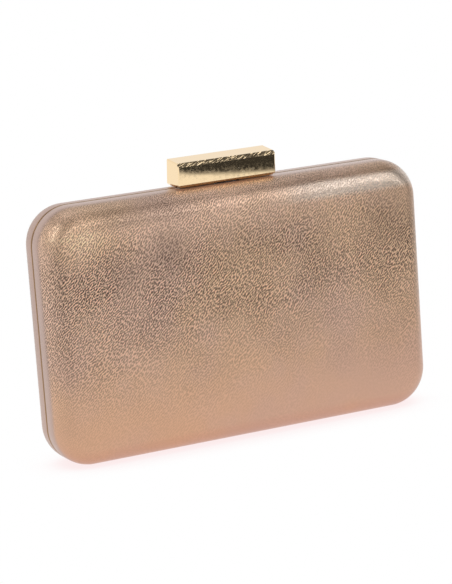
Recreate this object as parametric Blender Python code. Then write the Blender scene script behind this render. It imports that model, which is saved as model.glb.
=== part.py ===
"""A hard box clutch: two domed half shells covered in leatherette, joined by a piano hinge along the
bottom and shut by a sprung gilt bar at the top. Metres, +Z up. The case stands on its long bottom edge,
X runs along its width, the front half lies towards -Y, and the seam is the plane y = 0."""

import math

import bmesh
import bpy
from mathutils import Matrix, Vector

MM = 0.001

# The case: its outline at the seam, and how each half swells away from it.
CASE_WIDTH = 200.0 * MM
CASE_HEIGHT = 124.0 * MM
CORNER_RADIUS = 19.0 * MM
FLANK_DEPTH = 4.5 * MM
EDGE_DEPTH = 11.0 * MM
EDGE_INSET = 9.5 * MM
CROWN = 3.0 * MM
SEAM_GAP = 0.5 * MM

# The layers of the wall, from the outside in.
COVER_WALL = 0.8 * MM
SHELL_WALL = 1.5 * MM
HEM_WALL = 0.6 * MM
FRAME_WALL = 0.8 * MM
LINING_WALL = 0.7 * MM
LAYER_GAP = 0.3 * MM
FRAME_DEPTH = 6.5 * MM
FRAME_PAST_HEM = 0.5 * MM
RIM_ROUND = 0.5 * MM

# The piano hinge in the groove under the seam.
HINGE_TO_CORNER = 3.0 * MM
KNUCKLES = 9
KNUCKLE_GAP = 0.4 * MM
BARREL_RADIUS = 1.5 * MM
BARREL_BITE = 0.3 * MM
HINGE_PIN_RADIUS = 0.6 * MM
PIN_CLEARANCE = 0.15 * MM
GROOVE_CLEARANCE = 0.5 * MM
HINGE_RIVETS = 5
HINGE_RIVET_END = 12.0 * MM

# Rivets and screws.
RIVET_RADIUS = 0.7 * MM
RIVET_HEAD_RADIUS = 1.3 * MM
RIVET_HEAD_HEIGHT = 0.6 * MM

# The clasp bar. Its flat foot lies on the case, and its other faces lean a little towards the front.
BAR_LENGTH = 51.5 * MM
BAR_FOOT_FRONT = 6.3 * MM
BAR_FOOT_BACK = 7.6 * MM
BAR_TOP_FRONT = 7.2 * MM
BAR_TOP_BACK = 5.7 * MM
BAR_HEIGHT = 11.8 * MM
BAR_BACK_RISE = 1.4 * MM
BAR_HEEL_RUN = 2.2 * MM
BAR_HEEL_RISE = 0.5 * MM
BAR_FOOT_BEVEL = 1.4 * MM
BAR_TOP_BEVEL = 1.7 * MM
BAR_EDGE_BEVEL = 0.5 * MM
BAR_WALL = 2.0 * MM
BAR_END_WALL = 4.95 * MM
BAR_ROOF = 2.9 * MM

# The plate that carries the bar, its lugs and the clasp pin.
PLATE_END_GAP = 0.8 * MM
PLATE_WALL = 0.7 * MM
PLATE_RIVET_END = 4.0 * MM
LUG_END = 8.0 * MM
LUG_WALL = 1.6 * MM
LUG_RADIUS = 1.2 * MM
LUG_SLOT_REACH = 1.8 * MM
CLASP_PIN_RADIUS = 0.5 * MM
CLASP_PIN_HEIGHT = 1.7 * MM
CLASP_PIN_TO_BACK = 3.2 * MM
CLASP_PIN_END = 3.0 * MM
CLASP_PIN_RECESS = 0.6 * MM
CLASP_TILT = math.radians(18)

# The torsion spring round the clasp pin.
SPRING_WIRE_RADIUS = 0.25 * MM
SPRING_PITCH = 0.9 * MM
SPRING_TURNS = 8
SPRING_TURN_POINTS = 10
SPRING_LEG = 1.6 * MM

# The blade under the bar and the strike plate that it drops behind.
BLADE_WIDTH = 12.0 * MM
BLADE_WALL = 0.8 * MM
BLADE_FRONT = 2.6 * MM
BLADE_SCREW_END = 2.5 * MM
BLADE_SCREW_LENGTH = 2.6 * MM
NOTCH_CLEARANCE = 0.6 * MM
STRIKE_WALL = 0.5 * MM
STRIKE_RAIL = 1.0 * MM
STRIKE_FAR_RAIL = 0.8 * MM
STRIKE_WINDOW_TO_RIVET = 2.9 * MM
STRIKE_RIVET_END = 3.0 * MM

# How finely the curves are cut, and how far a cutter passes the faces that it cuts.
CORNER_STEPS = 6
LONG_STEPS = 4
SHORT_STEPS = 3
EDGE_STEPS = 4
FACE_RING_SHARES = (0.7, 0.36)
BARREL_SIDES = 16
PIN_SIDES = 12
OVERRUN = 1.0 * MM

# Sizes that follow from those above.
HALF_WIDTH = CASE_WIDTH / 2
HALF_HEIGHT = CASE_HEIGHT / 2
RIM = SEAM_GAP / 2
HEM_DEPTH = FRAME_DEPTH - FRAME_PAST_HEM
SHELL_OUT = COVER_WALL + LAYER_GAP
SHELL_IN = SHELL_OUT + SHELL_WALL
HEM_OUT = SHELL_IN + LAYER_GAP
HEM_IN = HEM_OUT + HEM_WALL
FRAME_OUT = HEM_IN + LAYER_GAP
FRAME_IN = FRAME_OUT + FRAME_WALL
LINING_OUT = SHELL_IN + LAYER_GAP
LINING_IN = LINING_OUT + LINING_WALL
HINGE_Z = HEM_OUT + BARREL_BITE - BARREL_RADIUS
HINGE_HALF = HALF_WIDTH - CORNER_RADIUS - HINGE_TO_CORNER
GROOVE_HALF = max(HINGE_Z, BARREL_RADIUS) + GROOVE_CLEARANCE
BAR_FOOT_Z = CASE_HEIGHT + LAYER_GAP
BAR_TOP_Z = BAR_FOOT_Z + BAR_HEIGHT
PLATE_TOP_Z = BAR_FOOT_Z + PLATE_WALL
CLASP_PIN_Z = PLATE_TOP_Z + CLASP_PIN_HEIGHT
CLASP_PIN_REAR = BAR_FOOT_BACK - CLASP_PIN_TO_BACK
BAY_TOP_Z = BAR_TOP_Z - BAR_ROOF
BAY_HALF = BAR_LENGTH / 2 - BAR_END_WALL
RIVET_HOLE = RIVET_RADIUS + LAYER_GAP
PLATE_HALF = BAY_HALF - PLATE_END_GAP
PLATE_FRONT = RIM + LAYER_GAP
PLATE_RIVET_X = PLATE_HALF - PLATE_RIVET_END
PLATE_RIVET_Y = PLATE_FRONT + RIVET_HEAD_RADIUS
LUG_X = PLATE_HALF - LUG_END
CLASP_PIN_START = CLASP_PIN_END - PLATE_HALF
STRIKE_TOP_Z = CASE_HEIGHT - FRAME_IN - LAYER_GAP
BLADE_LOW_Z = STRIKE_TOP_Z + LAYER_GAP
BLADE_SWING = (CLASP_PIN_REAR + BLADE_FRONT) * math.cos(CLASP_TILT)
BLADE_SWING += (CLASP_PIN_Z - BLADE_LOW_Z) * math.sin(CLASP_TILT)
NOTCH_HALF = BLADE_WIDTH / 2 + NOTCH_CLEARANCE
NOTCH_DEPTH = BLADE_SWING - CLASP_PIN_REAR + NOTCH_CLEARANCE
STRIKE_DEPTH = NOTCH_DEPTH + STRIKE_FAR_RAIL
STRIKE_RIVET_X = NOTCH_HALF + STRIKE_WINDOW_TO_RIVET

FRONT, BACK = -1, 1


def clear_scene():
    """Takes away whatever the scene holds."""
    for obj in list(bpy.data.objects):
        bpy.data.objects.remove(obj, do_unlink=True)


def material(name, colour, roughness, metallic):
    """A Principled material."""
    made = bpy.data.materials.new(name)
    made.use_nodes = True
    shader = made.node_tree.nodes["Principled BSDF"]
    shader.inputs["Base Color"].default_value = (*colour, 1)
    shader.inputs["Roughness"].default_value = roughness
    shader.inputs["Metallic"].default_value = metallic
    return made


def add_object(name, bm, finish=None, origin=(0, 0, 0)):
    """An object with its origin at the given point, from a bmesh in world places."""
    bmesh.ops.remove_doubles(bm, verts=bm.verts, dist=LAYER_GAP / 1000)
    bmesh.ops.translate(bm, verts=bm.verts, vec=-Vector(origin))
    bmesh.ops.recalc_face_normals(bm, faces=bm.faces)
    mesh = bpy.data.meshes.new(name)
    bm.to_mesh(mesh)
    bm.free()
    obj = bpy.data.objects.new(name, mesh)
    obj.location = origin
    bpy.context.scene.collection.objects.link(obj)
    if finish:
        mesh.materials.append(finish)
    return obj


def smooth(obj, angle):
    obj.data.shade_smooth()
    obj.data.set_sharp_from_angle(angle=math.radians(angle))


def as_cutter(obj):
    obj.hide_render = True
    obj.display_type = "WIRE"
    return obj


def cut(obj, *cutters):
    """Takes each cutter's space out of the object."""
    for cutter in cutters:
        modifier = obj.modifiers.new("cut", "BOOLEAN")
        modifier.operation = "DIFFERENCE"
        modifier.object = cutter


def ring(inset):
    """Points round the case's outline, moved in by the inset: corners as arcs, sides in even steps."""
    half_x, half_z = HALF_WIDTH - inset, HALF_HEIGHT - inset
    radius = CORNER_RADIUS - inset
    points = []
    corners = ((1, 1, LONG_STEPS), (-1, 1, SHORT_STEPS), (-1, -1, LONG_STEPS), (1, -1, SHORT_STEPS))
    for number, (side_x, side_z, steps) in enumerate(corners):
        centre = Vector((side_x * (half_x - radius), side_z * (half_z - radius)))
        for step in range(CORNER_STEPS + 1):
            angle = math.pi / 2 * (number + step / CORNER_STEPS)
            points.append(centre + radius * Vector((math.cos(angle), math.sin(angle))))
        next_x, next_z, _ = corners[(number + 1) % len(corners)]
        turn = math.pi / 2 * (number + 1)
        start = points[-1]
        end = Vector((next_x * (half_x - radius), next_z * (half_z - radius)))
        end += radius * Vector((math.cos(turn), math.sin(turn)))
        points += [start.lerp(end, step / steps) for step in range(1, steps)]
    return points


def swell_share(point):
    """How much of the crown a point of the face has: all at the middle, none at the outline."""
    return (1 - (point.x / HALF_WIDTH) ** 2) * (1 - (point.y / HALF_HEIGHT) ** 2)


def edge_ring(layer, lift):
    """A ring on the rounded edge of a layer, an elliptical quarter arc from the flank up to the face."""
    inset = EDGE_INSET - (EDGE_INSET - layer) * math.cos(lift)
    rise = math.sin(lift)
    return [
        Vector((p.x, FLANK_DEPTH + rise * (EDGE_DEPTH - layer + CROWN * swell_share(p)), p.y))
        for p in ring(inset)
    ]


def flat_ring(inset, depth):
    """A ring at one depth from the seam."""
    return [Vector((p.x, depth, p.y)) for p in ring(inset)]


def dome_rings(layer, start_depth):
    """The rings of a half shell's surface, from its rim to the last one before its middle point."""
    first = math.asin(max(0.0, start_depth - FLANK_DEPTH) / (EDGE_DEPTH - layer))
    rings = [flat_ring(layer, start_depth)] if start_depth < FLANK_DEPTH else []
    for step in range(EDGE_STEPS + 1):
        rings.append(edge_ring(layer, first + (math.pi / 2 - first) * step / EDGE_STEPS))
    for share in FACE_RING_SHARES:
        inner = [p * share for p in ring(EDGE_INSET)]
        rings.append([face_point(p, layer) for p in inner])
    return rings


def face_point(p, layer):
    return Vector((p.x, FLANK_DEPTH + EDGE_DEPTH - layer + CROWN * swell_share(p), p.y))


def loft(rings, side, ends=None):
    """A closed body through the rings. Without end points the last ring meets the first again."""
    bm = bmesh.new()
    centre = Vector((0, 0, HALF_HEIGHT))

    def place(p):
        return bm.verts.new(centre + Vector((p.x, side * p.y, p.z)))

    rows = [[place(p) for p in row] for row in rings]
    count = len(rows[0])
    pairs = list(zip(rows, rows[1:]))
    if ends is None:
        pairs.append((rows[-1], rows[0]))
    for low, high in pairs:
        for i in range(count):
            j = (i + 1) % count
            bm.faces.new((low[i], low[j], high[j], high[i]))
    for row, end in zip((rows[0], rows[-1]), ends or ()):
        tip = place(end)
        for i in range(count):
            bm.faces.new((row[i], row[(i + 1) % count], tip))
    return bm


def half_shell(layer_out, layer_in, start_depth, side):
    """A domed wall between two layers of a half, with its rim at the start depth."""
    outside = dome_rings(layer_out, start_depth)[::-1]
    inside = dome_rings(layer_in, start_depth)
    middle = Vector((0, 0))
    return loft(outside + inside, side, (face_point(middle, layer_out), face_point(middle, layer_in)))


def box(low, high):
    """A box between two corners."""
    bm = bmesh.new()
    bmesh.ops.create_cube(bm, size=1)
    for vert in bm.verts:
        vert.co = [a if place < 0 else b for a, b, place in zip(low, high, vert.co)]
    return bm


def rod(radius, start, end, sides=PIN_SIDES):
    """A round bar from one point to another."""
    start, end = Vector(start), Vector(end)
    along = end - start
    bm = bmesh.new()
    bmesh.ops.create_cone(
        bm, cap_ends=True, segments=sides, radius1=radius, radius2=radius, depth=along.length
    )
    turn = along.to_track_quat("Z", "Y").to_matrix().to_4x4()
    place = Matrix.Translation((start + end) / 2) @ turn
    bmesh.ops.transform(bm, matrix=place, verts=bm.verts)
    return bm


def joined(*parts):
    """One bmesh that holds all the parts as they are."""
    whole = bmesh.new()
    for part in parts:
        mesh = bpy.data.meshes.new("part")
        part.to_mesh(mesh)
        part.free()
        whole.from_mesh(mesh)
        bpy.data.meshes.remove(mesh)
    return whole


def prism(outline, low_x, high_x):
    """An outline in Y and Z, drawn out along X."""
    bm = bmesh.new()
    face = bm.faces.new([bm.verts.new((low_x, y, z)) for y, z in outline])
    drawn = bmesh.ops.extrude_face_region(bm, geom=[face])["geom"]
    ends = [item for item in drawn if isinstance(item, bmesh.types.BMVert)]
    bmesh.ops.translate(bm, verts=ends, vec=(high_x - low_x, 0, 0))
    return bm


def add_rivets(name, places, shank_low, shank_high, head_low, finish, parent):
    """Rivets or screws along Z, one object each, all with the same mesh. The shank runs into the head."""
    head_high = head_low + RIVET_HEAD_HEIGHT
    low, high = min(shank_low, head_low), max(shank_high, head_high)
    shoulder = head_low if shank_low < head_low else head_high
    foot, top = RIVET_RADIUS, RIVET_HEAD_RADIUS
    if shank_low >= head_low:
        foot, top = top, foot
    outline = [(0, low), (foot, low), (foot, shoulder), (top, shoulder), (top, high), (0, high)]
    bm = bmesh.new()
    verts = [bm.verts.new((radius, 0, z - low)) for radius, z in outline]
    edges = [bm.edges.new(pair) for pair in zip(verts, verts[1:])]
    around = {"cent": (0, 0, 0), "axis": (0, 0, 1), "angle": 2 * math.pi, "steps": PIN_SIDES}
    bmesh.ops.spin(bm, geom=verts + edges, use_merge=True, **around)
    shared = None
    for number, (x, y) in enumerate(places, start=1):
        if shared is None:
            rivet = add_object(f"{name}_{number}", bm, finish)
            shared = rivet.data
            smooth(rivet, 35)
        else:
            rivet = bpy.data.objects.new(f"{name}_{number}", shared)
            bpy.context.scene.collection.objects.link(rivet)
        rivet.location = (x, y, low)
        rivet.parent = parent


def hinge_cutters():
    """The channel for the barrel, the shallow groove that runs on into the corners, and the bed of the
    leaves, where the covers have no hem."""
    half = HINGE_HALF + LAYER_GAP
    top = HEM_IN + LAYER_GAP / 2
    channel = box((-half, -GROOVE_HALF, -OVERRUN), (half, GROOVE_HALF, top))
    groove_top = HINGE_Z + LAYER_GAP
    reach = math.sqrt(CORNER_RADIUS**2 - (CORNER_RADIUS - groove_top) ** 2)
    end = HALF_WIDTH - CORNER_RADIUS + reach
    groove = box((-end, -GROOVE_HALF, -OVERRUN), (end, GROOVE_HALF, groove_top))
    deep = HEM_DEPTH + LAYER_GAP
    bed = box((-half, -deep, SHELL_IN + LAYER_GAP / 2), (half, deep, top))
    parts = (("channel", channel), ("groove", groove), ("bed", bed))
    return [as_cutter(add_object(f"cutter_{name}", bm)) for name, bm in parts]


def rivet_rows():
    reach = HINGE_HALF - HINGE_RIVET_END
    return [reach * (2 * i / (HINGE_RIVETS - 1) - 1) for i in range(HINGE_RIVETS)]


def hinge_rivet_y(side):
    return side * (GROOVE_HALF + HEM_DEPTH) / 2


def make_half(name, side, parent, looks, cutters):
    """The cover, moulded shell, metal frame and lining of one half, with their holes for the hinge."""
    channel, groove, bed = cutters
    turn_in = RIM + COVER_WALL
    wrap = [
        flat_ring(0, RIM + RIM_ROUND),
        flat_ring(RIM_ROUND / 3, RIM + RIM_ROUND / 3),
        flat_ring(RIM_ROUND, RIM),
        flat_ring(HEM_IN, RIM),
        flat_ring(HEM_IN, HEM_DEPTH),
        flat_ring(HEM_OUT, HEM_DEPTH),
        flat_ring(HEM_OUT, turn_in),
        flat_ring(COVER_WALL, turn_in),
    ]
    outside = dome_rings(0, RIM)[:0:-1]
    inside = dome_rings(COVER_WALL, turn_in)[1:]
    middle = Vector((0, 0))
    ends = (face_point(middle, 0), face_point(middle, COVER_WALL))
    cover = add_object(f"{name}_cover", loft(outside + wrap + inside, side, ends), looks["leatherette"])
    shell = add_object(
        f"{name}_shell", half_shell(SHELL_OUT, SHELL_IN, turn_in + LAYER_GAP, side), looks["shell"]
    )
    band = [
        flat_ring(FRAME_OUT, RIM),
        flat_ring(FRAME_IN, RIM),
        flat_ring(FRAME_IN, FRAME_DEPTH),
        flat_ring(FRAME_OUT, FRAME_DEPTH),
    ]
    frame = add_object(f"{name}_frame", loft(band, side), looks["gilt"])
    lining = add_object(
        f"{name}_lining", half_shell(LINING_OUT, LINING_IN, FRAME_DEPTH + LAYER_GAP, side), looks["satin"]
    )
    cut(cover, channel, groove, bed)
    cut(shell, channel, groove)
    rows = [(x, hinge_rivet_y(side)) for x in rivet_rows()]
    holes = joined(*[rod(RIVET_HOLE, (x, y, COVER_WALL), (x, y, FRAME_IN + OVERRUN)) for x, y in rows])
    holes = as_cutter(add_object(f"cutter_{name}_rivets", holes))
    cut(shell, holes)
    cut(frame, holes)
    for piece in (cover, shell, frame, lining):
        smooth(piece, 35)
        piece.parent = parent
    return cover, shell, frame, holes


def make_hinge(name, side, parent, looks, holes):
    """One leaf with its knuckles, and the rivets that hold it between the frame and the shell. A knuckle is
    a barrel whose tab runs from above the hinge pin out into the leaf."""
    near, far = side * GROOVE_HALF, side * HEM_DEPTH
    strip = [(near, HEM_OUT), (far, HEM_OUT), (far, HEM_IN), (near, HEM_IN)]
    leaf = add_object(f"{name}_hinge_leaf", prism(strip, -HINGE_HALF, HINGE_HALF), looks["gilt"])
    tab_end = side * (GROOVE_HALF + LAYER_GAP)
    first = math.asin((HEM_OUT - HINGE_Z) / BARREL_RADIUS)
    curl = [first - (first + math.pi * 3 / 2) * i / BARREL_SIDES for i in range(BARREL_SIDES + 1)]
    outline = [(0, HEM_IN), (tab_end, HEM_IN), (tab_end, HEM_OUT)]
    outline += [
        (side * BARREL_RADIUS * math.cos(angle), HINGE_Z + BARREL_RADIUS * math.sin(angle)) for angle in curl
    ]
    pitch = 2 * HINGE_HALF / KNUCKLES
    starts = [-HINGE_HALF + i * pitch for i in range(0 if side == BACK else 1, KNUCKLES, 2)]
    knuckles = joined(*[
        prism(outline, start + KNUCKLE_GAP / 2, start + pitch - KNUCKLE_GAP / 2) for start in starts
    ])
    modifier = leaf.modifiers.new("knuckles", "BOOLEAN")
    modifier.operation = "UNION"
    modifier.object = as_cutter(add_object(f"cutter_{name}_knuckles", knuckles))
    end = HINGE_HALF + OVERRUN
    bore = rod(HINGE_PIN_RADIUS + PIN_CLEARANCE, (-end, 0, HINGE_Z), (end, 0, HINGE_Z), BARREL_SIDES)
    cut(leaf, as_cutter(add_object(f"cutter_{name}_bore", bore)), holes)
    leaf.parent = parent
    places = [(x, hinge_rivet_y(side)) for x in rivet_rows()]
    shank_low = SHELL_OUT + LAYER_GAP / 2
    head_low = FRAME_IN + LAYER_GAP
    add_rivets(f"{name}_hinge_rivet", places, shank_low, FRAME_IN, head_low, looks["gilt"], parent)
    smooth(leaf, 35)


def make_clasp_plate(root, looks, cover, shell, frame):
    """The plate on the back half's top edge, its two lugs, its rivets, and the clasp pin."""
    plate = box((-PLATE_HALF, PLATE_FRONT, BAR_FOOT_Z), (PLATE_HALF, CLASP_PIN_REAR, PLATE_TOP_Z))
    plate = add_object("clasp_plate", plate, looks["gilt"])
    steps = 8
    arc = [
        (CLASP_PIN_REAR + LUG_RADIUS * math.cos(math.pi * i / steps),
         CLASP_PIN_Z + LUG_RADIUS * math.sin(math.pi * i / steps))
        for i in range(steps + 1)
    ]
    outline = [(CLASP_PIN_REAR + LUG_RADIUS, BAR_FOOT_Z)] + arc + [(CLASP_PIN_REAR - LUG_RADIUS, BAR_FOOT_Z)]
    lugs = joined(*[prism(outline, x - LUG_WALL / 2, x + LUG_WALL / 2) for x in (-LUG_X, LUG_X)])
    modifier = plate.modifiers.new("lugs", "BOOLEAN")
    modifier.operation = "UNION"
    modifier.object = as_cutter(add_object("cutter_lugs", lugs))
    left = (-PLATE_HALF, CLASP_PIN_REAR, CLASP_PIN_Z)
    right = (PLATE_HALF, CLASP_PIN_REAR, CLASP_PIN_Z)
    eye = rod(CLASP_PIN_RADIUS + PIN_CLEARANCE, left, right)
    places = [(x, PLATE_RIVET_Y) for x in (-PLATE_RIVET_X, PLATE_RIVET_X)]
    inner = CASE_HEIGHT - FRAME_IN
    holes = joined(*[
        rod(RIVET_HOLE, (x, y, inner - OVERRUN), (x, y, PLATE_TOP_Z + OVERRUN)) for x, y in places
    ])
    holes = as_cutter(add_object("cutter_plate_rivets", holes))
    cut(plate, as_cutter(add_object("cutter_eyes", eye)), holes)
    for piece in (cover, shell, frame):
        cut(piece, holes)
    head_low = PLATE_TOP_Z + LAYER_GAP
    add_rivets("clasp_plate_rivet", places, inner - LAYER_GAP, PLATE_TOP_Z, head_low, looks["gilt"], root)
    start = (CLASP_PIN_START, CLASP_PIN_REAR, CLASP_PIN_Z)
    end = (BAR_LENGTH / 2 - CLASP_PIN_RECESS, CLASP_PIN_REAR, CLASP_PIN_Z)
    pin = add_object("clasp_pin", rod(CLASP_PIN_RADIUS, start, end), looks["steel"])
    for piece in (plate, pin):
        smooth(piece, 35)
        piece.parent = root


def make_spring(root, looks):
    """The torsion spring: one wire wound round the clasp pin, with a short leg at each end."""
    radius = CLASP_PIN_RADIUS + LAYER_GAP + SPRING_WIRE_RADIUS
    count = SPRING_TURNS * SPRING_TURN_POINTS
    length = SPRING_TURNS * SPRING_PITCH
    points = []
    for i in range(count + 1):
        turn = 2 * math.pi * i / SPRING_TURN_POINTS
        x = -length / 2 + length * i / count
        points.append(Vector((x, -radius * math.cos(turn), radius * math.sin(turn))))
    leg = Vector((0, 0, SPRING_LEG))
    points = [points[0] + leg] + points + [points[-1] + leg]
    curve = bpy.data.curves.new("clasp_spring", "CURVE")
    curve.dimensions = "3D"
    curve.bevel_depth = SPRING_WIRE_RADIUS
    curve.bevel_resolution = 1
    curve.use_fill_caps = True
    spline = curve.splines.new("POLY")
    spline.points.add(len(points) - 1)
    for slot, p in zip(spline.points, points):
        slot.co = (*p, 1)
    curve.materials.append(looks["steel"])
    spring = bpy.data.objects.new("clasp_spring", curve)
    spring.location = (0, CLASP_PIN_REAR, CLASP_PIN_Z)
    bpy.context.scene.collection.objects.link(spring)
    spring.parent = root


def plane_off(bm, point, normal):
    """Takes away what lies beyond a plane, and closes the body again with one flat face."""
    every = bm.verts[:] + bm.edges[:] + bm.faces[:]
    result = bmesh.ops.bisect_plane(bm, geom=every, plane_co=point, plane_no=normal, clear_outer=True)
    edges = [item for item in result["geom_cut"] if isinstance(item, bmesh.types.BMEdge)]
    bmesh.ops.edgeloop_fill(bm, edges=edges)


def bar_body():
    """The bar: a prism with a leaning section, whose edges are planed off one by one. The bevel at the
    heel is longer and lower than the others, so that the bar can tilt back."""
    half_x = BAR_LENGTH / 2
    foot_front = Vector((0, -BAR_FOOT_FRONT, BAR_FOOT_Z))
    foot_back = Vector((0, BAR_FOOT_BACK, BAR_FOOT_Z))
    top_back = Vector((0, BAR_TOP_BACK, BAR_TOP_Z + BAR_BACK_RISE))
    top_front = Vector((0, -BAR_TOP_FRONT, BAR_TOP_Z))
    section = (foot_front, foot_back, top_back, top_front)
    bm = prism([(p.y, p.z) for p in section], -half_x, half_x)
    end_bevels = (BAR_FOOT_BEVEL, BAR_EDGE_BEVEL, BAR_EDGE_BEVEL, BAR_EDGE_BEVEL)
    for i, end_bevel in enumerate(end_bevels):
        along = (section[(i + 1) % 4] - section[i]).normalized()
        outward = Vector((0, along.z, -along.y))
        for side in (-1, 1):
            place = section[i] + Vector((side * (half_x - end_bevel), 0, 0))
            plane_off(bm, place, outward + Vector((side, 0, 0)))
    bevels = (
        (BAR_FOOT_BEVEL, BAR_FOOT_BEVEL),
        (BAR_HEEL_RUN, BAR_HEEL_RISE),
        (BAR_EDGE_BEVEL, BAR_EDGE_BEVEL),
        (BAR_TOP_BEVEL, BAR_TOP_BEVEL),
    )
    for i, (before, after) in enumerate(bevels):
        first = section[i].lerp(section[i - 1], before / (section[i - 1] - section[i]).length)
        second = section[i].lerp(section[(i + 1) % 4], after / (section[(i + 1) % 4] - section[i]).length)
        along = second - first
        plane_off(bm, first, Vector((0, along.z, -along.y)))
    return bm


def make_clasp(clasp, looks):
    """The bar, hollow underneath for its blade, spring and lugs, with the blade and its two screws."""
    pivot = clasp.location
    bar = add_object("clasp_bar", bar_body(), looks["gilt"], pivot)
    below = BAR_FOOT_Z - OVERRUN
    front = -BAR_FOOT_FRONT + BAR_WALL
    hole = CLASP_PIN_RADIUS + PIN_CLEARANCE
    rear = CLASP_PIN_REAR - hole - LAYER_GAP
    slot_rear = CLASP_PIN_REAR + LUG_SLOT_REACH
    swing = (CLASP_PIN_Z - PLATE_TOP_Z) * math.sin(CLASP_TILT)
    heads_rear = PLATE_RIVET_Y + RIVET_HEAD_RADIUS + LAYER_GAP + swing
    heads_top = PLATE_TOP_Z + RIVET_HEAD_HEIGHT + 2 * LAYER_GAP
    spring_half = SPRING_TURNS * SPRING_PITCH / 2 + BLADE_WALL
    slot_top = CLASP_PIN_Z + LUG_SLOT_REACH
    spring_top = CLASP_PIN_Z + SPRING_LEG + BLADE_WALL
    spaces = [
        box((-BAY_HALF, front, below), (BAY_HALF, rear, BAY_TOP_Z)),
        box((-BAY_HALF, front, below), (BAY_HALF, heads_rear, heads_top)),
        box((-BAY_HALF, front, below), (BAY_HALF, BAR_FOOT_BACK + OVERRUN, PLATE_TOP_Z + LAYER_GAP)),
        box((-spring_half, 0, below), (spring_half, slot_rear, spring_top)),
    ]
    for x in (-LUG_X, LUG_X):
        reach = LUG_WALL / 2 + LAYER_GAP
        spaces.append(box((x - reach, 0, below), (x + reach, slot_rear, slot_top)))
    bore_start = (CLASP_PIN_START - LAYER_GAP, CLASP_PIN_REAR, CLASP_PIN_Z)
    bore_end = (BAR_LENGTH / 2 + OVERRUN, CLASP_PIN_REAR, CLASP_PIN_Z)
    spaces.append(rod(hole, bore_start, bore_end))
    flange_top = BAY_TOP_Z - LAYER_GAP
    flange_low = flange_top - BLADE_WALL
    screw_y = (rear - BLADE_FRONT) / 2
    screw_x = (BLADE_SCREW_END - BLADE_WIDTH / 2, BLADE_WIDTH / 2 - BLADE_SCREW_END)
    screw_top = BAY_TOP_Z + BLADE_SCREW_LENGTH
    for x in screw_x:
        spaces.append(rod(RIVET_HOLE, (x, screw_y, BAY_TOP_Z - OVERRUN), (x, screw_y, screw_top + LAYER_GAP)))
    for number, bm in enumerate(spaces):
        cut(bar, as_cutter(add_object(f"cutter_bar_{number}", bm, origin=pivot)))
    blade_back = -BLADE_FRONT + BLADE_WALL
    flange_rear = rear - LAYER_GAP
    outline = [
        (-BLADE_FRONT, BLADE_LOW_Z),
        (blade_back, BLADE_LOW_Z),
        (blade_back, flange_low),
        (flange_rear, flange_low),
        (flange_rear, flange_top),
        (-BLADE_FRONT, flange_top),
    ]
    blade = prism(outline, -BLADE_WIDTH / 2, BLADE_WIDTH / 2)
    blade = add_object("clasp_blade", blade, looks["steel"], pivot)
    low, high = flange_low - OVERRUN / 2, flange_top + OVERRUN / 2
    through = joined(*[rod(RIVET_HOLE, (x, screw_y, low), (x, screw_y, high)) for x in screw_x])
    cut(blade, as_cutter(add_object("cutter_blade_screws", through, origin=pivot)))
    head_low = flange_low - LAYER_GAP - RIVET_HEAD_HEIGHT
    places = [(x, screw_y) for x in screw_x]
    add_rivets("clasp_screw", places, head_low, screw_top, head_low, looks["steel"], clasp)
    for piece in (bar, blade):
        smooth(piece, 20)
        piece.parent = clasp


def make_strike(lid, looks, cover, shell, frame):
    """The notch in the front half's top edge, and the strike plate under it, held by two rivets."""
    notch_low = CASE_HEIGHT - FRAME_IN - OVERRUN / 4
    notch = box((-NOTCH_HALF, -NOTCH_DEPTH, notch_low), (NOTCH_HALF, 0, CASE_HEIGHT + OVERRUN))
    notch = as_cutter(add_object("cutter_notch", notch))
    for piece in (cover, shell, frame):
        cut(piece, notch)
    near = RIM + LAYER_GAP / 2
    low = STRIKE_TOP_Z - STRIKE_WALL
    half = STRIKE_RIVET_X + STRIKE_RIVET_END
    strike = box((-half, -STRIKE_DEPTH, low), (half, -near, STRIKE_TOP_Z))
    strike = add_object("strike_plate", strike, looks["steel"])
    below, above = low - OVERRUN, STRIKE_TOP_Z + OVERRUN
    window = box((-NOTCH_HALF, -NOTCH_DEPTH, below), (NOTCH_HALF, -near - STRIKE_RAIL, above))
    rows = (-STRIKE_RIVET_X, STRIKE_RIVET_X)
    y = -STRIKE_DEPTH / 2
    frame_top = CASE_HEIGHT - FRAME_OUT
    holes = joined(*[rod(RIVET_HOLE, (x, y, below), (x, y, frame_top + LAYER_GAP / 2)) for x in rows])
    holes = as_cutter(add_object("cutter_strike_rivets", holes))
    cut(strike, as_cutter(add_object("cutter_window", window)), holes)
    cut(frame, holes)
    head_low = low - LAYER_GAP - RIVET_HEAD_HEIGHT
    add_rivets("strike_rivet", [(x, y) for x in rows], head_low, frame_top, head_low, looks["gilt"], lid)
    smooth(strike, 35)
    strike.parent = lid


def empty(name, place):
    made = bpy.data.objects.new(name, None)
    made.location = place
    bpy.context.scene.collection.objects.link(made)
    return made


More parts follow.
